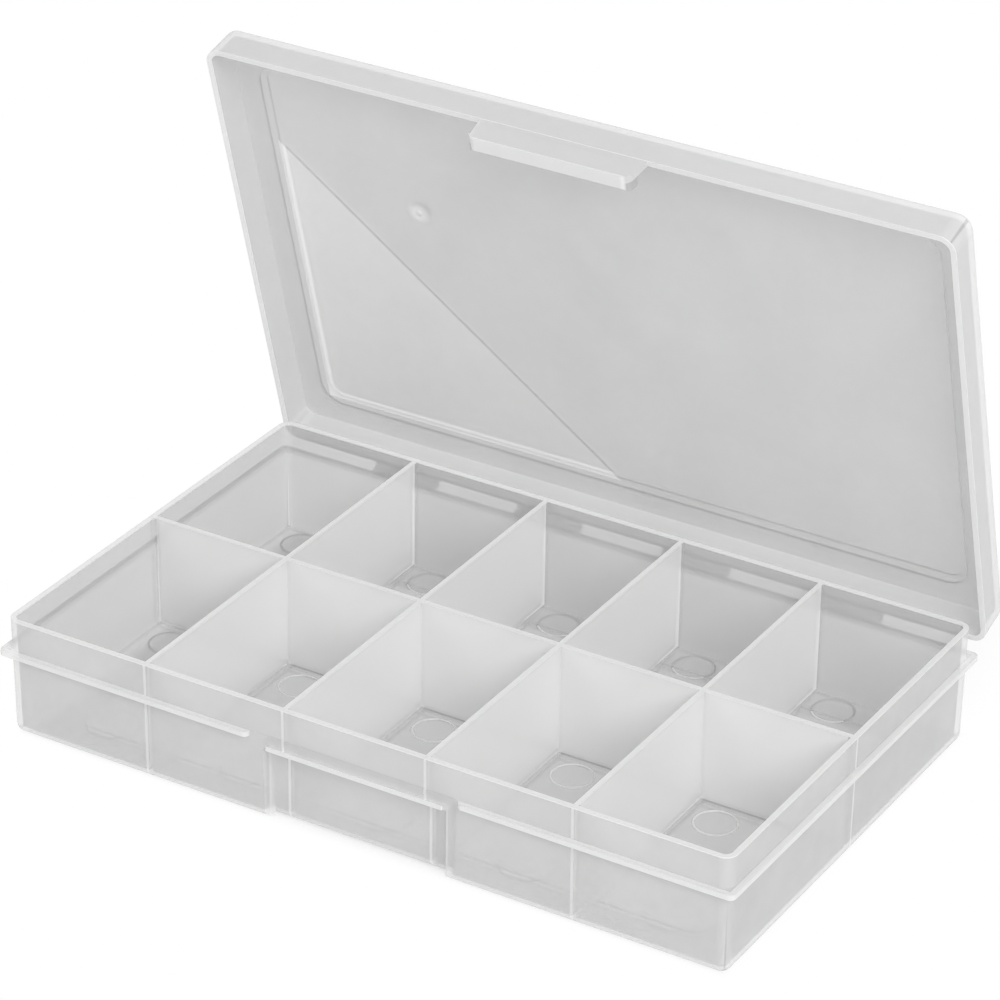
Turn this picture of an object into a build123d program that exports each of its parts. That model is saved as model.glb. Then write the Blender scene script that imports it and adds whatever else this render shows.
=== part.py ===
"""Compartment organizer box: a divided tray, a lid on a living hinge and a snap latch.

Millimetres. The origin is the middle of the tray's base, +X runs right along the front,
+Y runs back towards the hinge and +Z is up. The lid stands open, as it is photographed.
"""

from build123d import *
import math
import os

# Tray: outside size at the rim, walls and mould draft
tray_length = 175.1
tray_depth = 107.3
tray_height = 28.5
wall = 1.2
draft_angle = 0.8
tray_corner = 2.8
base_edge_radius = 2.2

# Tray floor: a rectangular foot stands below the floor's border, so filled boxes stack
floor_thickness = 1.2
foot_step = 0.5
foot_inset_x = 10.5
foot_inset_y = 9.2
foot_corner = 4.5

# Dividers moulded in one with the tray
column_count = 5
end_column_length = 35.8
divider_thickness = 1.0

# Flange round the tray, with a gap at the latch
flange_reach = 1.35
flange_thickness = 1.2
flange_corner = 1.4
flange_gap_length = 50.8
flange_end_radius = 1.2

# Living hinge: fold line behind the tray and four webs across it
hinge_offset = 3.4
hinge_height = 21.3
fold_gap = 0.1
parting_gap = 0.15
web_count = 4
web_end_distance = 31.15
web_length = 17.0
web_root_thickness = 0.6
web_fold_thickness = 0.3

# Lid: open angle, clearances and a sunk panel that takes the foot of a box above
lid_open_angle = 74.5
lid_side_clearance = 0.75
lid_top_clearance = 0.1
lid_panel_thickness = 1.2
lid_corner = 3.8
lid_draft_angle = 1.0
lid_edge_radius = 1.2
panel_step = 0.5
panel_inset = 8.6
panel_corner = 4.0

# Latch: a tab on the lid's front, its hook, and the keeper on the tray over a finger recess
recess_length = 43.6
recess_depth = 2.5
recess_corner = 1.1
keeper_drop = 3.7
keeper_height = 1.0
keeper_reach = 0.3
keeper_length = 43.0
latch_length = 40.0
latch_root_gap = 0.05
latch_end_length = 38.6
latch_end_radius = 2.2
latch_clearance = 0.3
hook_reach = 1.9
hook_height = 3.1
hook_bevel = 0.7
grip_reach = 0.9
grip_height = 2.0

# Label: a plain three-cornered sticker in the lid's sunk panel
label_length = 74.0
label_width = 71.5
label_thickness = 0.1
label_margin = 1.4

# Places that follow from the sizes above
fold_y = tray_depth / 2 + hinge_offset
flange_top = hinge_height - parting_gap
flange_bottom = flange_top - flange_thickness
border_floor_top = foot_step + floor_thickness
column_pitch = (tray_length - 2 * end_column_length) / (column_count - 2)
keeper_bottom = hinge_height - keeper_drop
recess_back = recess_depth - tray_depth / 2
lid_length = tray_length + 2 * (lid_side_clearance + wall)
lid_depth = tray_depth + 2 * (lid_side_clearance + wall)
rim_height = hinge_height + parting_gap
sunk_panel_top = tray_height + lid_top_clearance + lid_panel_thickness
lid_top = sunk_panel_top + panel_step
web_pitch = (tray_length - 2 * web_end_distance) / (web_count - 1)
web_xs = [web_pitch * (i - (web_count - 1) / 2) for i in range(web_count)]


def lid_level(height):
    """The plane that lies at this height when the lid is closed, turned with the open lid."""
    angle = math.radians(lid_open_angle)
    hinge_plane = Plane(
        origin=(0, fold_y, hinge_height),
        x_dir=(1, 0, 0),
        z_dir=(0, math.sin(angle), math.cos(angle)),
    )
    return hinge_plane.offset(height - hinge_height)


def lid_section(x):
    """The upright plane across the lid at x: its X runs back and its Y up on the closed lid."""
    level = lid_level(hinge_height)
    return Plane(origin=level.origin + Vector(x, 0, 0), x_dir=level.y_dir, z_dir=(1, 0, 0))


def recess_outline(grow):
    """The finger recess in plan, grown by one wall to back it, with rounded mouth and corners."""
    half = recess_length / 2 + grow
    front = -tray_depth / 2
    back = front + recess_depth + grow
    mouth = half + 2 * recess_corner
    outside = front - recess_depth
    with BuildSketch(Plane.XY.offset(-foot_step)) as outline:
        with BuildLine():
            Polyline(
                (-mouth, outside), (-mouth, front), (-half, front), (-half, back),
                (half, back), (half, front), (mouth, front), (mouth, outside), close=True,
            )
        make_face()
        turns = outline.vertices().filter_by_position(Axis.X, -half - 0.01, half + 0.01)
        fillet(turns, recess_corner)
    return outline.sketch


recess_opening = recess_outline(0)
recess_backing = recess_outline(wall)

# Room inside the tray: one tapered hollow, less the dividers and the back of the recess
with BuildPart() as hollow:
    with BuildSketch(Plane.XY.offset(tray_height)):
        RectangleRounded(tray_length - 2 * wall, tray_depth - 2 * wall, tray_corner - wall)
    extrude(amount=border_floor_top - tray_height, taper=draft_angle)
    with BuildSketch(Plane.XY.offset(floor_thickness)):
        RectangleRounded(
            tray_length - 2 * foot_inset_x, tray_depth - 2 * foot_inset_y, foot_corner
        )
    extrude(amount=tray_height - floor_thickness)
    with BuildSketch(Plane.XY.offset(tray_height)):
        with GridLocations(column_pitch, 0, column_count - 1, 1):
            Rectangle(divider_thickness, tray_depth)
        Rectangle(tray_length, divider_thickness)
    extrude(amount=-tray_height, mode=Mode.SUBTRACT)
    extrude(recess_backing, amount=keeper_bottom + foot_step + wall, mode=Mode.SUBTRACT)

# Tray: drafted box, rounded base edge, foot, flange, keeper and finger recess; the base edge
# is rounded again along the back of the recess
with BuildPart() as tray:
    with BuildSketch(Plane.XY.offset(tray_height)):
        RectangleRounded(tray_length, tray_depth, tray_corner)
    extrude(amount=foot_step - tray_height, taper=draft_angle)
    fillet(tray.faces().sort_by(Axis.Z)[0].edges(), base_edge_radius)
    with BuildSketch():
        RectangleRounded(
            tray_length - 2 * foot_inset_x, tray_depth - 2 * foot_inset_y, foot_corner
        )
    extrude(amount=border_floor_top)
    with BuildSketch(Plane.XY.offset(flange_bottom)) as flange_outline:
        RectangleRounded(
            tray_length + 2 * flange_reach, tray_depth + 2 * flange_reach, flange_corner
        )
        with Locations((0, -tray_depth / 2 - flange_reach)):
            Rectangle(flange_gap_length, 2 * flange_reach, mode=Mode.SUBTRACT)
        gap_corners = (
            flange_outline.vertices()
            .filter_by_position(Axis.X, -flange_gap_length / 2 - 0.01, flange_gap_length / 2 + 0.01)
            .group_by(Axis.Y)[0]
        )
        fillet(gap_corners, flange_end_radius)
    extrude(amount=flange_thickness)
    with BuildSketch(Plane.XY.offset(keeper_bottom)):
        with Locations((0, -tray_depth / 2 - keeper_reach + recess_depth / 2)):
            RectangleRounded(keeper_length, recess_depth, keeper_reach)
    extrude(amount=keeper_height)
    extrude(recess_opening, amount=keeper_bottom + foot_step, mode=Mode.SUBTRACT)
    with BuildSketch(Plane.YZ):
        with Locations((recess_back + base_edge_radius / 2, foot_step + base_edge_radius / 2)):
            Rectangle(base_edge_radius, base_edge_radius)
        with Locations((recess_back + base_edge_radius, foot_step + base_edge_radius)):
            Circle(base_edge_radius, mode=Mode.SUBTRACT)
    extrude(amount=recess_length / 2, both=True, mode=Mode.SUBTRACT)
    add(hollow.part, mode=Mode.SUBTRACT)
tray.part.label = "tray"

# Lid: drafted cover with a sunk panel, rounded top edge and an open underside
with BuildPart() as lid:
    with BuildSketch(lid_level(rim_height)):
        with Locations((0, -fold_y)):
            RectangleRounded(lid_length, lid_depth, lid_corner)
    extrude(amount=lid_top - rim_height, taper=lid_draft_angle)
    up = lid_level(rim_height).z_dir
    top_edges = lid.faces().sort_by(Axis((0, 0, 0), up))[-1].edges()
    fillet(top_edges, lid_edge_radius)
    with BuildSketch(lid_level(rim_height)):
        with Locations((0, -fold_y)):
            RectangleRounded(lid_length - 2 * wall, lid_depth - 2 * wall, lid_corner - wall)
    extrude(
        amount=lid_top - lid_panel_thickness - rim_height,
        taper=lid_draft_angle,
        mode=Mode.SUBTRACT,
    )
    with BuildSketch(lid_level(sunk_panel_top - lid_panel_thickness)):
        with Locations((0, -fold_y)):
            RectangleRounded(
                lid_length - 2 * panel_inset + 2 * wall,
                lid_depth - 2 * panel_inset + 2 * wall,
                panel_corner + wall,
            )
    extrude(amount=lid_panel_thickness)
    with BuildSketch(lid_level(sunk_panel_top)):
        with Locations((0, -fold_y)):
            RectangleRounded(
                lid_length - 2 * panel_inset, lid_depth - 2 * panel_inset, panel_corner
            )
    extrude(amount=panel_step, mode=Mode.SUBTRACT)
lid.part.label = "lid"

# Latch tab: a plate below the lid's front rim with a bevelled hook inside and a grip outside
lid_front = -fold_y - lid_depth / 2
plate_back = lid_front + wall
plate_top = parting_gap - latch_root_gap
hook_top = -keeper_drop - latch_clearance
plate_bottom = hook_top - hook_height
lid_plane = lid_level(hinge_height)
lid_facing_front = Plane(origin=lid_plane.origin, x_dir=(1, 0, 0), z_dir=-lid_plane.y_dir)
with BuildPart() as latch_tab:
    with BuildSketch(lid_section(0)):
        with BuildLine():
            Polyline(
                (lid_front, plate_top),
                (plate_back, plate_top),
                (plate_back, hook_top),
                (plate_back + hook_reach, hook_top),
                (plate_back + hook_reach, plate_bottom + hook_bevel),
                (plate_back + hook_reach - hook_bevel, plate_bottom),
                (lid_front - grip_reach, plate_bottom),
                (lid_front - grip_reach, plate_bottom + grip_height - grip_reach),
                (lid_front, plate_bottom + grip_height),
                close=True,
            )
        make_face()
    extrude(amount=latch_length / 2, both=True)
    with BuildSketch(lid_facing_front) as latch_outline:
        with BuildLine():
            Polyline(
                (-latch_length / 2, plate_top),
                (latch_length / 2, plate_top),
                (latch_end_length / 2, plate_bottom),
                (-latch_end_length / 2, plate_bottom),
                close=True,
            )
        make_face()
        fillet(latch_outline.vertices().group_by(Axis.Y)[0], latch_end_radius)
    extrude(amount=grip_reach - lid_front, mode=Mode.INTERSECT)
latch_tab.part.label = "latch_tab"

# Label: a triangle in the corner of the sunk panel
with BuildPart() as label:
    corner_x = -lid_length / 2 + panel_inset + label_margin
    corner_y = -fold_y + lid_depth / 2 - panel_inset - label_margin
    with BuildSketch(lid_level(sunk_panel_top)) as label_face:
        with BuildLine():
            Polyline(
                (corner_x, corner_y),
                (corner_x + label_length, corner_y),
                (corner_x, corner_y - label_width),
                close=True,
            )
        make_face()
        square_corner = label_face.vertices().sort_by_distance((corner_x, corner_y, 0))[:1]
        fillet(square_corner, panel_corner - label_margin)
    extrude(amount=label_thickness)
label.part.label = "label"


def hinge_leaf(section, root, side):
    """Half of one hinge web, from its root to the fold line, thinning to the fold.

    The section's origin is on the fold line. side is 1 above the parting line, -1 below it.
    """
    near_face = side * fold_gap / 2
    with BuildPart() as leaf:
        with BuildSketch(section):
            with BuildLine():
                Polyline(
                    (root, near_face),
                    (-fold_gap, near_face),
                    (-fold_gap, near_face + side * web_fold_thickness),
                    (root, near_face + side * web_root_thickness),
                    close=True,
                )
            make_face()
        extrude(amount=web_length / 2, both=True)
    return leaf.part


# Living hinge: four webs, each a leaf on the tray's flange and a leaf on the lid's rear wall
tray_leaf_root = flange_reach - hinge_offset
lid_leaf_root = lid_side_clearance + wall - hinge_offset
hinge_leaves = []
for number, web_x in enumerate(web_xs, start=1):
    upright = Plane(origin=(web_x, fold_y, hinge_height), x_dir=(0, 1, 0), z_dir=(1, 0, 0))
    tray_leaf = hinge_leaf(upright, tray_leaf_root, -1)
    tray_leaf.label = f"tray_hinge_leaf_{number}"
    lid_leaf = hinge_leaf(lid_section(web_x), lid_leaf_root, 1)
    lid_leaf.label = f"lid_hinge_leaf_{number}"
    hinge_leaves += [tray_leaf, lid_leaf]

# Write each piece to its own file
os.makedirs("parts", exist_ok=True)
export_step(tray.part, "parts/tray.step")
export_step(lid.part, "parts/lid.step")
export_step(latch_tab.part, "parts/latch_tab.step")
export_step(label.part, "parts/label.step")
for leaf in hinge_leaves:
    export_step(leaf, f"parts/{leaf.label}.step")
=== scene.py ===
"""The looks of the compartment organizer box: milky plastic, moulding marks, hinge film, label and studio.

Every length is in metres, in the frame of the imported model: X runs right along the front,
Y runs back towards the hinge and Z is up, from the middle of the tray's base.
"""

import logging
import math
from dataclasses import dataclass, field, replace
from enum import Enum

import bmesh
import bpy
from mathutils import Matrix, Vector

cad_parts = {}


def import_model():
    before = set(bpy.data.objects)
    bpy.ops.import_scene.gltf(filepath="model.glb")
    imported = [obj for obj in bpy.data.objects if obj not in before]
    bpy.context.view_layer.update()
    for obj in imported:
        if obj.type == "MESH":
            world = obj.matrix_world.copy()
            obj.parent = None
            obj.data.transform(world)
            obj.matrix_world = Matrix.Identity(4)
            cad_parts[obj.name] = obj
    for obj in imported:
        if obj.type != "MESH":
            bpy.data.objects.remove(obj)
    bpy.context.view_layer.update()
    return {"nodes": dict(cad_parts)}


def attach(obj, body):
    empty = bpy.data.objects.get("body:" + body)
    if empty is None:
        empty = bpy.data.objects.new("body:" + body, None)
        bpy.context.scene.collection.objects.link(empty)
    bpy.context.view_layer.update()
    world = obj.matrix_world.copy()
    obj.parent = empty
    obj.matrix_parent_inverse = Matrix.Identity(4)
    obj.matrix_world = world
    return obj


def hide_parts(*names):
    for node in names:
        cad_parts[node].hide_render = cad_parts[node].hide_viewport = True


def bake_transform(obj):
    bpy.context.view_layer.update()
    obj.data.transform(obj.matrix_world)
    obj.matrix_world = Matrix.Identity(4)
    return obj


LOG = logging.getLogger("organizer_box")
MM = 0.001

Point = tuple[float, float, float]
Colour = tuple[float, float, float]


class Body(Enum):
    """The bodies that pieces ride on."""

    TRAY = "tray"
    LID = "lid"
    LATCH = "latch"


class Slot(Enum):
    """The record's material slots."""

    PLASTIC = "polypropylene"
    LABEL = "label_film"


class Axis(Enum):
    """The output of a Separate XYZ node that holds one coordinate."""

    X = 0
    Y = 1
    Z = 2


class MixSocket(Enum):
    """The numbers of the colour sockets on a Mix node."""

    LOW = 6
    HIGH = 7
    RESULT = 2


def grey(level: float) -> Colour:
    """Returns a neutral colour from a linear level."""
    return (level, level, level)


@dataclass
class Sheet:
    """One node tree, with short ways to add the nodes that the finishes need."""

    tree: bpy.types.NodeTree

    def add(self, kind: str, **settings: object) -> bpy.types.Node:
        """Adds a node.

        Args:
            kind: The node's type name.
            **settings: Properties to set on the node.

        Returns:
            The new node.
        """
        node = self.tree.nodes.new(kind)
        for name, value in settings.items():
            setattr(node, name, value)
        return node

    def plug(self, value: object, socket: bpy.types.NodeSocket) -> None:
        """Links an output to a socket, or sets the socket to a constant.

        Args:
            value: An output socket or a constant.
            socket: The input to fill.
        """
        if isinstance(value, bpy.types.NodeSocket):
            self.tree.links.new(value, socket)
        else:
            socket.default_value = value

    def maths(self, operation: str, first: object, second: object = 0.0) -> bpy.types.NodeSocket:
        """Adds a Math node.

        Args:
            operation: The operation's name.
            first: The first output or number.
            second: The second output or number.

        Returns:
            The node's result.
        """
        node = self.add("ShaderNodeMath", operation=operation)
        self.plug(first, node.inputs[0])
        self.plug(second, node.inputs[1])
        return node.outputs[0]

    def ramp(self, value: object, start: float, end: float) -> bpy.types.NodeSocket:
        """Turns a value into a share from 0 at start to 1 at end, held outside them.

        Args:
            value: The output to map.
            start: The value that gives 0.
            end: The value that gives 1.

        Returns:
            The share.
        """
        node = self.add("ShaderNodeMapRange", interpolation_type="SMOOTHSTEP")
        self.plug(value, node.inputs["Value"])
        node.inputs["From Min"].default_value = start
        node.inputs["From Max"].default_value = end
        return node.outputs["Result"]

    def band(self, value: object, centre: float, half: float, soft: float) -> bpy.types.NodeSocket:
        """Marks a band of one coordinate.

        Args:
            value: The coordinate to test.
            centre: The band's middle.
            half: Half the band's width.
            soft: The width of the fall on each side.

        Returns:
            A share that is 1 in the band and falls to 0 beside it.
        """
        away = self.maths("ABSOLUTE", self.maths("SUBTRACT", value, centre))
        return self.ramp(away, half + soft, half)

    def either(self, *shares: object) -> bpy.types.NodeSocket:
        """Joins several shares.

        Args:
            *shares: The shares, as outputs or numbers.

        Returns:
            The largest of them.
        """
        result = shares[0]
        for share in shares[1:]:
            result = self.maths("MAXIMUM", result, share)
        return result

    def tint(self, share: object, base: object, colour: Colour) -> bpy.types.NodeSocket:
        """Moves a colour towards a plain one.

        Args:
            share: How far it moves, from 0 to 1.
            base: The colour that it starts from, as an output or a plain colour.
            colour: The plain colour that it moves to.

        Returns:
            The mixed colour.
        """
        node = self.add("ShaderNodeMix", data_type="RGBA")
        start = base if isinstance(base, bpy.types.NodeSocket) else (*base, 1.0)
        self.plug(share, node.inputs["Factor"])
        self.plug(start, node.inputs[MixSocket.LOW.value])
        self.plug((*colour, 1.0), node.inputs[MixSocket.HIGH.value])
        return node.outputs[MixSocket.RESULT.value]

    def towards(self, share: object, base: object, value: float) -> bpy.types.NodeSocket:
        """Returns a number moved towards a plain value by a share."""
        step = self.maths("MULTIPLY", self.maths("SUBTRACT", value, base), share)
        return self.maths("ADD", base, step)

    def lift(self, share: object, low: float, high: float) -> bpy.types.NodeSocket:
        """Returns a number between low, at a share of 0, and high, at 1."""
        return self.maths("ADD", self.maths("MULTIPLY", share, high - low), low)

    def noise(self, where: bpy.types.NodeSocket, scale: float, detail: float) -> bpy.types.NodeSocket:
        """Adds a cloudy pattern.

        Args:
            where: The coordinates that it follows.
            scale: How fine it is, for each metre.
            detail: How many finer layers lie over it.

        Returns:
            The pattern, whose middle value is 0.5.
        """
        node = self.add("ShaderNodeTexNoise")
        self.plug(where, node.inputs["Vector"])
        self.plug(scale, node.inputs["Scale"])
        self.plug(detail, node.inputs["Detail"])
        return node.outputs["Fac"]

    def bump(self, height: bpy.types.NodeSocket, strength: float, depth: float) -> bpy.types.NodeSocket:
        """Turns a pattern into a slight unevenness of the surface.

        Args:
            height: The pattern.
            strength: How much of it shows, from 0 to 1.
            depth: How deep it is.

        Returns:
            The uneven surface's direction.
        """
        node = self.add("ShaderNodeBump")
        self.plug(strength, node.inputs["Strength"])
        self.plug(depth, node.inputs["Distance"])
        self.plug(height, node.inputs["Height"])
        return node.outputs["Normal"]


def new_finish(name: str) -> tuple[bpy.types.Material, Sheet, bpy.types.Node]:
    """Starts a material.

    Args:
        name: The material's name.

    Returns:
        The material, its sheet and its main shader.
    """
    material = bpy.data.materials.new(name)
    material.use_nodes = True
    return material, Sheet(material.node_tree), material.node_tree.nodes["Principled BSDF"]


@dataclass(frozen=True)
class BoxSizes:
    """Sizes of the moulding that its finish and marks follow."""

    tray_length: float = 175.1 * MM
    tray_depth: float = 107.3 * MM
    tray_height: float = 28.5 * MM
    wall: float = 1.2 * MM
    floor: float = 1.2 * MM
    column_pitch: float = 34.5 * MM
    columns: int = 5
    divider: float = 1.0 * MM
    flange_top: float = 21.15 * MM
    fold_y: float = (107.3 / 2 + 3.4) * MM
    hinge_height: float = 21.3 * MM
    parting_gap: float = 0.15 * MM
    flange_reach: float = 1.35 * MM
    lid_clearance: float = 0.75 * MM
    lid_top: float = 30.3 * MM
    panel_thickness: float = 1.2 * MM
    panel_step: float = 0.5 * MM
    panel_inset: float = 8.6 * MM
    web_count: int = 4
    web_end_distance: float = 31.15 * MM
    web_length: float = 17.0 * MM
    recess_length: float = 43.6 * MM
    recess_depth: float = 2.5 * MM
    recess_top: float = 17.6 * MM
    label_length: float = 74.0 * MM
    label_width: float = 71.5 * MM
    label_margin: float = 1.4 * MM
    gate_x: float = -45.6 * MM
    gate_y: float = -17.5 * MM
    tab_drop: float = 7.1 * MM
    open_angle: float = math.radians(74.5)

    @property
    def lid_length(self) -> float:
        """Outside length of the lid at its rim."""
        return self.tray_length + 2 * (self.lid_clearance + self.wall)

    @property
    def lid_depth(self) -> float:
        """Outside depth of the lid at its rim."""
        return self.tray_depth + 2 * (self.lid_clearance + self.wall)

    @property
    def rim_height(self) -> float:
        """Height of the closed lid's rim."""
        return self.hinge_height + self.parting_gap

    def divider_xs(self) -> list[float]:
        """Returns the middles of the cross dividers along X."""
        middle = (self.columns - 2) / 2
        return [self.column_pitch * (i - middle) for i in range(self.columns - 1)]

    def column_xs(self) -> list[float]:
        """Returns the middles of the columns of compartments along X."""
        middle = (self.columns - 1) / 2
        return [self.column_pitch * (i - middle) for i in range(self.columns)]

    def web_xs(self) -> list[float]:
        """Returns the middles of the hinge webs along X."""
        pitch = (self.tray_length - 2 * self.web_end_distance) / (self.web_count - 1)
        return [pitch * (i - (self.web_count - 1) / 2) for i in range(self.web_count)]

    def open_lid(self) -> Matrix:
        """Works out how the closed lid gets to where it stands open.

        Returns:
            The matrix that turns it about the fold.
        """
        fold = Vector((0.0, self.fold_y, self.hinge_height))
        turn = Matrix.Rotation(-self.open_angle, 4, "X")
        return Matrix.Translation(fold) @ turn @ Matrix.Translation(-fold)


@dataclass
class Looks:
    """How cloudy a body is and what its marked faces change, each after the one before it."""

    alpha: float
    tints: list[tuple[bpy.types.NodeSocket, Colour]]
    alphas: list[tuple[bpy.types.NodeSocket, float]]


@dataclass(frozen=True)
class MilkyPlastic:
    """Natural polypropylene: cloudy and half clear through a wall; its finish makes it whiter where it is
    seen thick, partly as a painted highlight, paints shade inside the tray and lid and paints light on the
    dividers and behind the label.
    """

    sizes: BoxSizes
    name: str = "milky_polypropylene"
    colour: Colour = grey(0.88)
    # painted shade: the faces inside the tray are darker than the outer faces of the same plastic
    inner_shade_colour: Colour = grey(0.48)
    # painted light: the dividers' faces are lighter, standing in for light that passes through them
    divider_light_colour: Colour = grey(0.97)
    # painted shade: the faces inside the lid are darker than its outer faces
    lid_inner_shade_colour: Colour = grey(0.54)
    # painted light: the lid's panel behind the label is made lighter
    label_light_colour: Colour = grey(0.98)
    # lighter where the plastic is seen thick, partly a painted highlight on rims, flange, joints and the
    # latch end; also the gate's whitened plastic
    edge_highlight_and_gate_colour: Colour = grey(0.9)
    joint_share: float = 0.55
    flange_share: float = 0.6
    alpha: float = 0.38
    inner_alpha: float = 0.46
    divider_alpha: float = 0.58
    lid_alpha: float = 0.5
    edge_alpha: float = 0.8
    cloud: float = 0.1
    bloom_radius: float = 3.2 * MM
    roughness: float = 0.38
    roughness_swing: float = 0.06
    refraction: float = 1.49
    cloud_size: float = 14.0 * MM
    cloud_detail: float = 3.0
    wear_scale: float = 90.0
    wear_detail: float = 5.0
    skin_scale: float = 420.0
    skin_detail: float = 4.0
    skin_strength: float = 0.02
    skin_depth: float = 0.1 * MM
    edge_soft: float = 0.12 * MM
    inside_fade: tuple[float, float] = (-0.35 * MM, -0.1 * MM)
    divider_fade: tuple[float, float] = (0.5 * MM, 0.9 * MM)
    patch_fade: tuple[float, float] = (-0.9 * MM, -0.4 * MM)
    floor_margin: float = 0.2 * MM

    def tray_edges(self, sheet: Sheet, place: bpy.types.Node) -> bpy.types.NodeSocket:
        """Marks where the tray is seen thick, its rim, flange and wall joints, which are lightened partly
        as a painted highlight.

        Args:
            sheet: The node tree to add to.
            place: The node that splits the object's coordinates.

        Returns:
            A share that is 1 on those edges.
        """
        size = self.sizes
        x, y, z = (place.outputs[axis.value] for axis in Axis)
        rim = sheet.ramp(z, size.tray_height - 3 * self.edge_soft, size.tray_height - self.edge_soft)
        out_x = sheet.maths("SUBTRACT", sheet.maths("ABSOLUTE", x), size.tray_length / 2)
        out_y = sheet.maths("SUBTRACT", sheet.maths("ABSOLUTE", y), size.tray_depth / 2)
        flange = sheet.ramp(sheet.either(out_x, out_y), 0.0, self.edge_soft)
        half = size.divider / 2 - 2 * self.edge_soft
        joints = [sheet.band(x, middle, half, self.edge_soft) for middle in size.divider_xs()]
        end_joint = sheet.band(y, 0.0, half, self.edge_soft)
        joined = sheet.maths("MULTIPLY", sheet.either(end_joint, *joints), self.joint_share)
        flange = sheet.maths("MULTIPLY", flange, self.flange_share)
        return sheet.either(rim, flange, joined)

    def tray_depths(self, sheet: Sheet, place: bpy.types.Node) -> list[bpy.types.NodeSocket]:
        """Marks the faces inside the tray, which get painted shade, and among them the dividers' faces,
        which get painted light.

        Args:
            sheet: The node tree to add to.
            place: The node that splits the object's coordinates.

        Returns:
            A share that is 1 inside the tray and a share that is 1 on the dividers.
        """
        size = self.sizes
        x, y, z = (place.outputs[axis.value] for axis in Axis)
        in_x = sheet.maths("SUBTRACT", size.tray_length / 2 - size.wall, sheet.maths("ABSOLUTE", x))
        in_y = sheet.maths("SUBTRACT", size.tray_depth / 2 - size.wall, sheet.maths("ABSOLUTE", y))
        within = sheet.maths("MINIMUM", in_x, in_y)
        recess_end = sheet.maths("SUBTRACT", sheet.maths("ABSOLUTE", x), size.recess_length / 2)
        recess_back = sheet.maths("ADD", y, size.tray_depth / 2 - size.recess_depth)
        over_recess = sheet.maths("SUBTRACT", z, size.recess_top)
        clear = sheet.maths("SUBTRACT", sheet.either(recess_end, recess_back, over_recess), size.wall)
        depth = sheet.maths("MINIMUM", within, clear)
        shares = []
        for floor, fade in ((size.floor, self.inside_fade), (size.floor * 1.5, self.divider_fade)):
            above = sheet.maths("SUBTRACT", z, floor - self.floor_margin)
            shares.append(sheet.ramp(sheet.maths("MINIMUM", depth, above), *fade))
        return shares

    def lid_inside(self, sheet: Sheet, place: bpy.types.Node) -> bpy.types.NodeSocket:
        """Marks the faces inside the lid, which get painted shade.

        Args:
            sheet: The node tree to add to.
            place: The node that splits the closed lid's coordinates.

        Returns:
            A share that is 1 inside the lid.
        """
        size = self.sizes
        x, y, z = (place.outputs[axis.value] for axis in Axis)
        in_x = sheet.maths("SUBTRACT", size.lid_length / 2 - size.wall, sheet.maths("ABSOLUTE", x))
        in_y = sheet.maths("SUBTRACT", size.lid_depth / 2 - size.wall, sheet.maths("ABSOLUTE", y))
        ceiling = size.lid_top - size.panel_step - size.panel_thickness / 2
        below = sheet.maths("SUBTRACT", ceiling, z)
        depth = sheet.maths("MINIMUM", sheet.maths("MINIMUM", in_x, in_y), below)
        return sheet.ramp(depth, *self.inside_fade)

    def gate_bloom(self, sheet: Sheet, place: bpy.types.Node) -> bpy.types.NodeSocket:
        """Marks the whitened plastic round the gate, where the lid's mould was filled.

        Args:
            sheet: The node tree to add to.
            place: The node that splits the closed lid's coordinates.

        Returns:
            A share that is 1 at the gate and falls to 0 round it.
        """
        squares = [
            sheet.maths("POWER", sheet.maths("SUBTRACT", place.outputs[axis.value], middle), 2.0)
            for axis, middle in ((Axis.X, self.sizes.gate_x), (Axis.Y, self.sizes.gate_y))
        ]
        return sheet.ramp(sheet.maths("ADD", *squares), self.bloom_radius ** 2, 0.0)

    def label_light_patch(self, sheet: Sheet, place: bpy.types.Node) -> bpy.types.NodeSocket:
        """Marks the patch of the lid's panel behind the label, which is painted lighter as painted light.

        Args:
            sheet: The node tree to add to.
            place: The node that splits the closed lid's coordinates.

        Returns:
            A share that is 1 behind the label.
        """
        size = self.sizes
        left = size.panel_inset + size.label_margin - size.lid_length / 2
        back = size.lid_depth / 2 - size.panel_inset - size.label_margin
        along = sheet.maths("SUBTRACT", place.outputs[Axis.X.value], left)
        down = sheet.maths("SUBTRACT", back, place.outputs[Axis.Y.value])
        slant = sheet.maths("ADD", sheet.maths("DIVIDE", along, size.label_length),
                            sheet.maths("DIVIDE", down, size.label_width))
        reach = sheet.maths("MULTIPLY", sheet.maths("SUBTRACT", 1.0, slant), size.label_width / 2)
        within = sheet.maths("MINIMUM", sheet.maths("MINIMUM", along, down), reach)
        return sheet.ramp(within, *self.patch_fade)

    def lid_edges(self, sheet: Sheet, place: bpy.types.Node) -> bpy.types.NodeSocket:
        """Marks the lid's rim, where it is seen thick and is lightened partly as a painted highlight.

        Args:
            sheet: The node tree to add to.
            place: The node that splits the closed lid's coordinates.

        Returns:
            A share that is 1 on the rim.
        """
        z = place.outputs[Axis.Z.value]
        rim = self.sizes.rim_height
        return sheet.ramp(z, rim + 3 * self.edge_soft, rim + self.edge_soft)

    def latch_edges(self, sheet: Sheet, place: bpy.types.Node) -> bpy.types.NodeSocket:
        """Marks the latch tab's thick lower end, which is lightened partly as a painted highlight.

        Args:
            sheet: The node tree to add to.
            place: The node that splits the closed lid's coordinates.

        Returns:
            A share that is 1 on that end.
        """
        end = self.sizes.hinge_height - self.sizes.tab_drop
        z = place.outputs[Axis.Z.value]
        return sheet.ramp(z, end + 4 * self.edge_soft, end + self.edge_soft)

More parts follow.
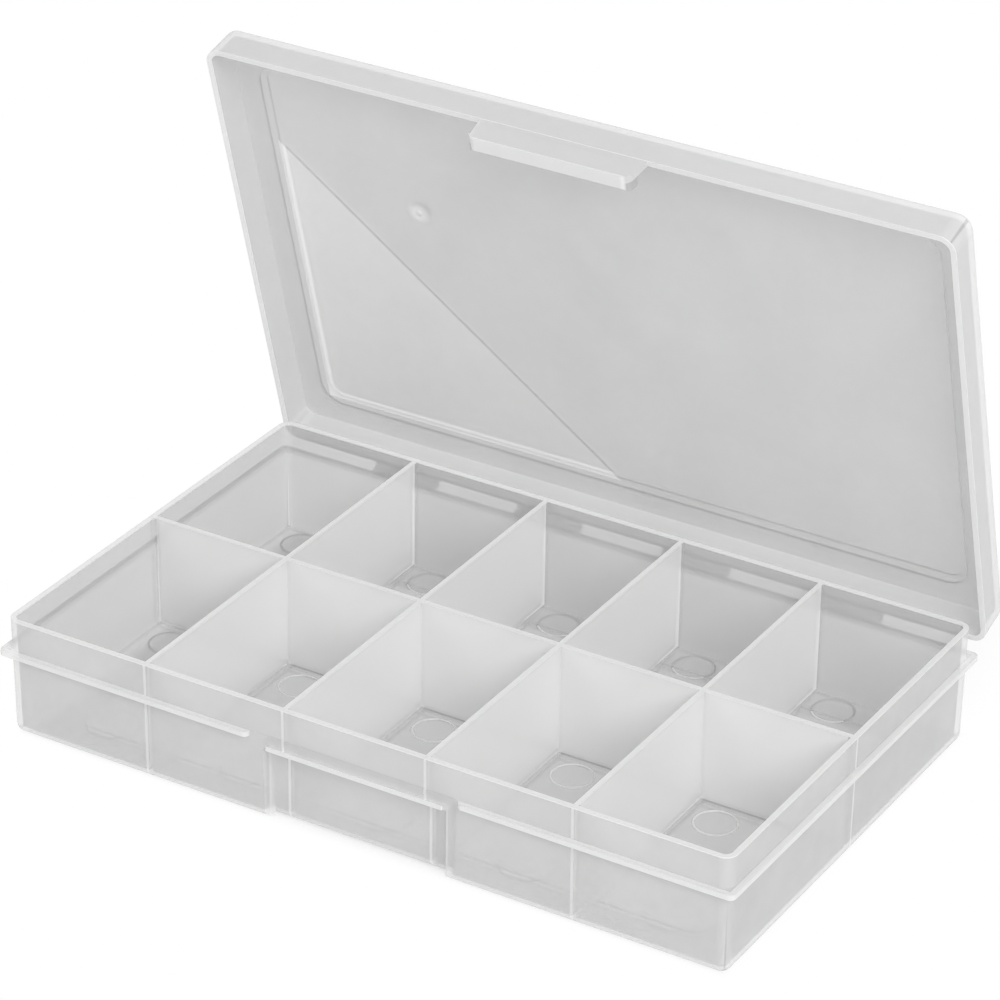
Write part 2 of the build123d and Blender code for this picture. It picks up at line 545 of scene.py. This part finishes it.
    def tray_looks(self, sheet: Sheet, place: bpy.types.Node) -> Looks:
        """Gathers the tray's painted shade inside, painted light on the dividers and lighter edges, partly
        a painted highlight.

        Args:
            sheet: The node tree to add to.
            place: The node that splits the object's coordinates.

        Returns:
            The tray's looks.
        """
        inside, dividers = self.tray_depths(sheet, place)
        edges = self.tray_edges(sheet, place)
        return Looks(
            alpha=self.alpha,
            tints=[(inside, self.inner_shade_colour), (dividers, self.divider_light_colour), (edges, self.edge_highlight_and_gate_colour)],
            alphas=[(inside, self.inner_alpha), (dividers, self.divider_alpha), (edges, self.edge_alpha)],
        )

    def lid_looks(self, sheet: Sheet, place: bpy.types.Node, body: Body) -> Looks:
        """Gathers the lid's painted shade inside, painted light behind the label, the whitened gate and
        lighter edges, partly a painted highlight.

        Args:
            sheet: The node tree to add to.
            place: The node that splits the closed lid's coordinates.
            body: The lid, or the latch that is moulded on it.

        Returns:
            The body's looks.
        """
        bloom = self.gate_bloom(sheet, place)
        marks = self.lid_edges if body is Body.LID else self.latch_edges
        edges = marks(sheet, place)
        return Looks(
            alpha=self.lid_alpha,
            tints=[
                (self.lid_inside(sheet, place), self.lid_inner_shade_colour),
                (self.label_light_patch(sheet, place), self.label_light_colour),
                (bloom, self.edge_highlight_and_gate_colour),
                (edges, self.edge_highlight_and_gate_colour),
            ],
            alphas=[(bloom, self.edge_alpha), (edges, self.edge_alpha)],
        )

    def make(self, body: Body) -> bpy.types.Material:
        """Builds the finish for one body, whose edges lie in its own places.

        Args:
            body: The body that it covers.

        Returns:
            The material.
        """
        material, sheet, shader = new_finish(f"{self.name}_{body.value}")
        where = sheet.add("ShaderNodeTexCoord").outputs["Object"]
        place = sheet.add("ShaderNodeSeparateXYZ")
        if body is Body.TRAY:
            sheet.plug(where, place.inputs[0])
            looks = self.tray_looks(sheet, place)
        else:
            sheet.plug(self.closed_place(sheet, where), place.inputs[0])
            looks = self.lid_looks(sheet, place, body)
        colour = self.colour
        for share, tint in looks.tints:
            colour = sheet.tint(share, colour, tint)
        cloud = sheet.noise(where, 1.0 / self.cloud_size, self.cloud_detail)
        swing = sheet.maths("MULTIPLY", sheet.maths("SUBTRACT", cloud, 0.5), self.cloud)
        density = sheet.maths("ADD", swing, looks.alpha)
        for share, alpha in looks.alphas:
            density = sheet.towards(share, density, alpha)
        sheet.plug(colour, shader.inputs["Base Color"])
        sheet.plug(density, shader.inputs["Alpha"])
        sheet.plug(self.gloss(sheet, where), shader.inputs["Roughness"])
        sheet.plug(self.skin(sheet, where), shader.inputs["Normal"])
        sheet.plug(self.refraction, shader.inputs["IOR"])
        return material

    def closed_place(self, sheet: Sheet, where: bpy.types.NodeSocket) -> bpy.types.NodeSocket:
        """Turns the open lid's coordinates back to where they are with the lid shut.

        Args:
            sheet: The node tree to add to.
            where: The object's coordinates.

        Returns:
            The closed lid's coordinates.
        """
        turn = sheet.add("ShaderNodeVectorRotate", rotation_type="X_AXIS")
        sheet.plug(where, turn.inputs["Vector"])
        turn.inputs["Center"].default_value = (0.0, self.sizes.fold_y, self.sizes.hinge_height)
        turn.inputs["Angle"].default_value = self.sizes.open_angle
        return turn.outputs[0]

    def gloss(self, sheet: Sheet, where: bpy.types.NodeSocket) -> bpy.types.NodeSocket:
        """Varies the roughness a little, as a polished mould with worn patches gives.

        Args:
            sheet: The node tree to add to.
            where: The object's coordinates.

        Returns:
            The roughness.
        """
        wear = sheet.noise(where, self.wear_scale, self.wear_detail)
        low, high = self.roughness - self.roughness_swing, self.roughness + self.roughness_swing
        return sheet.lift(wear, low, high)

    def skin(self, sheet: Sheet, where: bpy.types.NodeSocket) -> bpy.types.NodeSocket:
        """Adds the faint unevenness of a moulded face.

        Args:
            sheet: The node tree to add to.
            where: The object's coordinates.

        Returns:
            The uneven face's direction.
        """
        waves = sheet.noise(where, self.skin_scale, self.skin_detail)
        return sheet.bump(waves, self.skin_strength, self.skin_depth)


@dataclass(frozen=True)
class StickerFilm:
    """The label's film: thin, half clear and a little whiter than the lid, with its print left out."""

    name: str = "sticker_film"
    colour: Colour = grey(0.86)
    mottle_colour: Colour = grey(0.92)
    alpha: float = 0.6
    alpha_swing: float = 0.05
    roughness: float = 0.42
    mottle_scale: float = 260.0
    mottle_detail: float = 4.0
    grain_strength: float = 0.08
    grain_depth: float = 0.05 * MM

    def make(self) -> bpy.types.Material:
        """Builds the finish.

        Returns:
            The material.
        """
        material, sheet, shader = new_finish(self.name)
        where = sheet.add("ShaderNodeTexCoord").outputs["Object"]
        share = sheet.noise(where, self.mottle_scale, self.mottle_detail)
        low, high = self.alpha - self.alpha_swing, self.alpha + self.alpha_swing
        sheet.plug(sheet.tint(share, self.colour, self.mottle_colour), shader.inputs["Base Color"])
        sheet.plug(sheet.lift(share, low, high), shader.inputs["Alpha"])
        sheet.plug(sheet.bump(share, self.grain_strength, self.grain_depth), shader.inputs["Normal"])
        sheet.plug(self.roughness, shader.inputs["Roughness"])
        return material


def piece_from(mesh: bmesh.types.BMesh, name: str, material: bpy.types.Material) -> bpy.types.Object:
    """Turns a mesh under construction into a smooth-shaded object in the scene.

    Args:
        mesh: The mesh, which is used up.
        name: The piece's name.
        material: Its finish.

    Returns:
        The new object.
    """
    bmesh.ops.recalc_face_normals(mesh, faces=mesh.faces)
    data = bpy.data.meshes.new(name)
    mesh.to_mesh(data)
    mesh.free()
    data.materials.append(material)
    piece = bpy.data.objects.new(name, data)
    bpy.context.scene.collection.objects.link(piece)
    return piece


def add_ring(mesh: bmesh.types.BMesh, profile: list[tuple[float, float]], place: Matrix,
             steps: int = 48) -> None:
    """Turns a closed profile of (radius, height) points about Z and adds it to a mesh.

    Args:
        mesh: The mesh to add to.
        profile: The points of the section, in order.
        place: Where the turned shape's own origin goes.
        steps: How many flats the round has.
    """
    rings = []
    for step in range(steps):
        angle = 2 * math.pi * step / steps
        direction = Vector((math.cos(angle), math.sin(angle), 0.0))
        rings.append([
            mesh.verts.new(place @ (direction * radius + Vector((0.0, 0.0, height))))
            for radius, height in profile
        ])
    count = len(profile)
    for step, ring in enumerate(rings):
        following = rings[(step + 1) % steps]
        for i in range(count):
            j = (i + 1) % count
            mesh.faces.new((ring[i], ring[j], following[j], following[i]))


@dataclass
class MouldMarks:
    """The round marks that the mould's ejector pins and gate leave."""

    sizes: BoxSizes
    large_radius: float = 5.8 * MM
    small_radius: float = 4.7 * MM
    line_width: float = 0.5 * MM
    line_height: float = 0.12 * MM
    large_offset: Point = (-0.8 * MM, 12.5 * MM, 0.0)
    small_offset: Point = (-10.2 * MM, 47.2 * MM, 0.0)
    gate_radius: float = 0.9 * MM
    gate_height: float = 0.2 * MM
    gate_seat: float = 0.02 * MM

    def floor_rings(self, material: bpy.types.Material) -> bpy.types.Object:
        """Builds the ejector rings on the compartments' floors.

        Args:
            material: The finish of the raised lines.

        Returns:
            One piece that holds all the rings.
        """
        mesh = bmesh.new()
        row_pitch = (self.sizes.tray_depth - self.sizes.wall) / 2
        for column_x in self.sizes.column_xs():
            for row in (0, -1):
                for radius, offset in (
                    (self.large_radius, self.large_offset), (self.small_radius, self.small_offset),
                ):
                    at = Vector(offset) + Vector((column_x, row * row_pitch, self.sizes.floor))
                    add_ring(mesh, self.line_profile(radius), Matrix.Translation(at))
        return piece_from(mesh, "floor_ejector_rings", material)

    def line_profile(self, radius: float) -> list[tuple[float, float]]:
        """Draws the low rounded section of a raised line.

        Args:
            radius: The radius of the line's middle.

        Returns:
            The section's points.
        """
        half = self.line_width / 2
        return [
            (radius - half, -self.line_height / 4),
            (radius - half * 0.6, self.line_height * 0.8),
            (radius, self.line_height),
            (radius + half * 0.6, self.line_height * 0.8),
            (radius + half, -self.line_height / 4),
        ]

    def gate(self, material: bpy.types.Material) -> bpy.types.Object:
        """Builds the gate's blemish on the inside of the lid.

        Args:
            material: The finish of the mark.

        Returns:
            The piece.
        """
        mesh = bmesh.new()
        under = self.sizes.lid_top - self.sizes.panel_step - self.sizes.panel_thickness
        place = self.sizes.open_lid() @ Matrix.Translation(
            Vector((self.sizes.gate_x, self.sizes.gate_y, under))
        )
        profile = [
            (self.gate_seat, -self.gate_height),
            (self.gate_radius * 0.55, -self.gate_height * 0.85),
            (self.gate_radius, self.gate_seat),
            (self.gate_seat, self.gate_seat),
        ]
        add_ring(mesh, profile, place)
        return piece_from(mesh, "lid_gate_mark", material)


@dataclass
class LivingHinge:
    """Four strips of one film from the tray's flange to the lid's rear wall, thin at the fold."""

    sizes: BoxSizes
    root_thickness: float = 0.6 * MM
    fold_thickness: float = 0.28 * MM
    fold_spread: float = 0.6
    steps: int = 24
    steps_across: int = 6

    def centreline(self) -> list[tuple[Point, float]]:
        """Follows the film from the flange round the fold to the lid.

        Returns:
            Points on the film's middle with the film's thickness at each.
        """
        size = self.sizes
        start = Vector((0.0, size.tray_depth / 2 + size.flange_reach,
                        size.flange_top - self.root_thickness / 2))
        root = Vector((0.0, size.lid_depth / 2, size.rim_height + self.root_thickness / 2))
        end = size.open_lid() @ root
        fold = Vector((0.0, size.fold_y, size.hinge_height))
        points = []
        for step in range(self.steps + 1):
            t = step / self.steps
            point = start * (1 - t) ** 2 + fold * 2 * t * (1 - t) + end * t ** 2
            thin = math.sin(math.pi * t) ** self.fold_spread
            thickness = self.root_thickness + (self.fold_thickness - self.root_thickness) * thin
            points.append((tuple(point), thickness))
        return points

    def strip(self, number: int, web_x: float, material: bpy.types.Material) -> bpy.types.Object:
        """Builds one film strip and bends it across the hinge.

        Args:
            number: The strip's number, from 1 on the left.
            web_x: The middle of the strip along X.
            material: Its finish.

        Returns:
            The piece.
        """
        mesh = bmesh.new()
        line = self.centreline()
        sections = []
        for index, (point, thickness) in enumerate(line):
            before = Vector(line[max(index - 1, 0)][0])
            after = Vector(line[min(index + 1, len(line) - 1)][0])
            along = (after - before).normalized()
            normal = Vector((1.0, 0.0, 0.0)).cross(along)
            middle = Vector(point)
            top, bottom = [], []
            offset = normal * thickness / 2
            for step in range(self.steps_across + 1):
                x = web_x + self.sizes.web_length * (step / self.steps_across - 0.5)
                top.append(mesh.verts.new(Vector((x, middle.y, middle.z)) + offset))
                bottom.append(mesh.verts.new(Vector((x, middle.y, middle.z)) - offset))
            sections.append(top + bottom[::-1])
        ring = len(sections[0])
        for first, second in zip(sections, sections[1:]):
            for i in range(ring):
                j = (i + 1) % ring
                mesh.faces.new((first[i], first[j], second[j], second[i]))
        mesh.faces.new(sections[0])
        mesh.faces.new(sections[-1][::-1])
        return piece_from(mesh, f"hinge_film_{number}", material)

    def build(self, material: bpy.types.Material) -> list[bpy.types.Object]:
        """Builds the four strips, each in place of its two leaves.

        Args:
            material: The finish of the film.

        Returns:
            The strips.
        """
        line = self.centreline()
        strips = []
        for number, web_x in enumerate(self.sizes.web_xs(), start=1):
            strip = self.strip(number, web_x, material)
            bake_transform(strip)
            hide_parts(f"tray_hinge_leaf_{number}", f"lid_hinge_leaf_{number}")
            strips.append(strip)
        return strips


@dataclass(frozen=True)
class SoftLamp:
    """One square soft lamp."""

    name: str
    place: Point
    side: float
    watts: float

    def hang(self, target: Point) -> None:
        """Hangs the lamp so that it faces a point.

        Args:
            target: The point that it faces.
        """
        data = bpy.data.lights.new(self.name, "AREA")
        data.shape = "SQUARE"
        data.size = self.side
        data.energy = self.watts
        lamp = bpy.data.objects.new(self.name, data)
        lamp.location = self.place
        aim = Vector(target) - Vector(self.place)
        lamp.rotation_euler = aim.to_track_quat("-Z", "Y").to_euler()
        bpy.context.scene.collection.objects.link(lamp)


@dataclass
class Studio:
    """The white table, the soft lamps and the camera that took the photograph."""

    sizes: BoxSizes
    shade_soft: float = 6.0 * MM
    shade_white: float = 0.55
    shade_reach: float = 70.0 * MM
    lens_mm: float = 162.95
    sensor_mm: float = 36.0
    azimuth: float = math.radians(30.797)
    elevation: float = math.radians(28.698)
    roll: float = math.radians(0.736)
    camera_place: Point = (0.42630, -0.71168, 0.51213)
    floor_half: float = 6.0
    clip_start: float = 0.01
    clip_end: float = 50.0
    floor_colour: Colour = grey(0.8)
    floor_roughness: float = 0.9
    world_level: float = 0.46
    lamp_target: Point = (0.0, 0.0, 0.05)
    key_lamp: SoftLamp = SoftLamp("key_lamp", (1.4, -1.1, 1.4), 1.1, 36.0)
    fill_lamp: SoftLamp = SoftLamp("fill_lamp", (-0.8, -1.4, 0.9), 1.0, 4.0)

    def camera(self) -> None:
        """Stands the camera where the photograph was taken from."""
        data = bpy.data.cameras.new("photo_camera")
        data.lens = self.lens_mm
        data.sensor_width = self.sensor_mm
        data.clip_start = self.clip_start
        data.clip_end = self.clip_end
        camera = bpy.data.objects.new("photo_camera", data)
        bpy.context.scene.collection.objects.link(camera)
        forward = Vector((
            -math.sin(self.azimuth) * math.cos(self.elevation),
            math.cos(self.azimuth) * math.cos(self.elevation),
            -math.sin(self.elevation),
        ))
        level_right = Vector((math.cos(self.azimuth), math.sin(self.azimuth), 0.0))
        level_up = level_right.cross(forward)
        right = level_right * math.cos(self.roll) + level_up * math.sin(self.roll)
        up = right.cross(forward)
        axes = Matrix((right, up, -forward)).transposed().to_4x4()
        camera.matrix_world = Matrix.Translation(self.camera_place) @ axes
        bpy.context.scene.camera = camera

    def white_to_view(self, sheet: Sheet, plain: bpy.types.NodeSocket,
                      share: object = 1.0) -> bpy.types.NodeSocket:
        """Shows plain white to the camera and in what the box reflects or lets through.

        Args:
            sheet: The node tree to add to.
            plain: The shader that lights the box.
            share: How much of the white is shown, place by place.

        Returns:
            The mixed shader.
        """
        path = sheet.add("ShaderNodeLightPath")
        seen = sheet.either(
            path.outputs["Is Camera Ray"],
            path.outputs["Is Glossy Ray"],
            path.outputs["Is Transmission Ray"],
        )
        white = sheet.add("ShaderNodeEmission")
        sheet.plug((*grey(1.0), 1.0), white.inputs["Color"])
        mix = sheet.add("ShaderNodeMixShader")
        sheet.plug(sheet.maths("MULTIPLY", seen, share), mix.inputs[0])
        sheet.plug(plain, mix.inputs[1])
        sheet.plug(white.outputs[0], mix.inputs[2])
        return mix.outputs[0]

    def floor(self) -> None:
        """Lays the white table, which keeps its shade under the box and its leaning lid."""
        mesh = bmesh.new()
        half = self.floor_half
        corners = [(-half, -half), (half, -half), (half, half), (-half, half)]
        mesh.faces.new([mesh.verts.new((x, y, 0.0)) for x, y in corners])
        material, sheet, shader = new_finish("white_table")
        sheet.plug((*self.floor_colour, 1.0), shader.inputs["Base Color"])
        sheet.plug(self.floor_roughness, shader.inputs["Roughness"])
        out = material.node_tree.nodes["Material Output"]
        place = sheet.add("ShaderNodeSeparateXYZ")
        sheet.plug(sheet.add("ShaderNodeTexCoord").outputs["Object"], place.inputs[0])
        x, y = place.outputs[Axis.X.value], place.outputs[Axis.Y.value]
        side = sheet.maths("SUBTRACT", sheet.maths("ABSOLUTE", x), self.sizes.tray_length / 2)
        front = sheet.maths("SUBTRACT", -self.sizes.tray_depth / 2, y)
        rear = sheet.maths("SUBTRACT", y, self.sizes.fold_y)
        beside = sheet.either(side, front)
        under_box = sheet.ramp(sheet.either(beside, rear), 0.0, -self.shade_soft)
        under_lid = sheet.maths(
            "MULTIPLY",
            sheet.ramp(beside, 0.0, -self.shade_reach / 2),
            sheet.ramp(rear, self.shade_reach, 0.0),
        )
        share = sheet.lift(sheet.either(under_box, under_lid), 1.0, self.shade_white)
        sheet.plug(self.white_to_view(sheet, shader.outputs[0], share), out.inputs["Surface"])
        table = piece_from(mesh, "studio_table", material)

    def world(self) -> None:
        """Fills the room with even white light and shows white behind the box."""
        world = bpy.data.worlds.new("white_room")
        bpy.context.scene.world = world
        world.use_nodes = True
        sheet = Sheet(world.node_tree)
        light = world.node_tree.nodes["Background"]
        sheet.plug((*grey(1.0), 1.0), light.inputs["Color"])
        sheet.plug(self.world_level, light.inputs["Strength"])
        out = world.node_tree.nodes["World Output"]
        sheet.plug(self.white_to_view(sheet, light.outputs[0]), out.inputs["Surface"])

    def build(self) -> None:
        """Sets the stage, the lamps and the camera."""
        self.world()
        self.floor()
        self.key_lamp.hang(self.lamp_target)
        self.fill_lamp.hang(self.lamp_target)
        self.camera()
        bpy.context.scene.view_settings.view_transform = "Standard"


@dataclass
class OrganizerBox:
    """The whole box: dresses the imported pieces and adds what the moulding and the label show."""

    nodes: dict[str, bpy.types.Object]
    sizes: BoxSizes = field(default_factory=BoxSizes)

    def dress(self, name: str, material: bpy.types.Material) -> None:
        """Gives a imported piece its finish.

        Args:
            name: The piece's node name.
            material: The finish.
        """
        piece = self.nodes[name]
        piece.data.materials.clear()
        piece.data.materials.append(material)
        LOG.info("dressed %s with %s", name, material.name)

    def build(self) -> list[bpy.types.Object]:
        """Dresses every piece and adds the marks and the hinge film.

        Returns:
            The pieces that were added.
        """
        plastic = MilkyPlastic(self.sizes)
        tray_plastic = plastic.make(Body.TRAY)
        lid_plastic = plastic.make(Body.LID)
        # The moulding marks take a light copy of the plastic with no painted shade inside, so the raised
        # rings show as lighter lines: a painted highlight.
        mark_plastic = replace(
            plastic, name="moulding_mark", colour=grey(0.9), lid_inner_shade_colour=grey(0.9), lid_alpha=0.1,
        ).make(Body.LATCH)
        self.dress("tray", tray_plastic)
        self.dress("lid", lid_plastic)
        self.dress("latch_tab", plastic.make(Body.LATCH))
        self.dress("label", StickerFilm().make())
        for number in range(1, self.sizes.web_count + 1):
            self.dress(f"tray_hinge_leaf_{number}", tray_plastic)
            self.dress(f"lid_hinge_leaf_{number}", lid_plastic)
        marks = MouldMarks(self.sizes)
        rings = marks.floor_rings(mark_plastic)
        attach(rings, Body.TRAY.value)
        gate = marks.gate(mark_plastic)
        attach(gate, Body.LID.value)
        strips = LivingHinge(self.sizes).build(tray_plastic)
        added = [rings, gate, *strips]
        for piece in added:
            LOG.info("added %s, %d faces", piece.name, len(piece.data.polygons))
        return added


def main() -> None:
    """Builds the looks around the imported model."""
    logging.basicConfig(level=logging.INFO, format="%(name)s: %(message)s")
    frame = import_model()
    box = OrganizerBox(frame["nodes"])
    box.build()
    Studio(box.sizes).build()


if __name__ == "__main__":
    main()
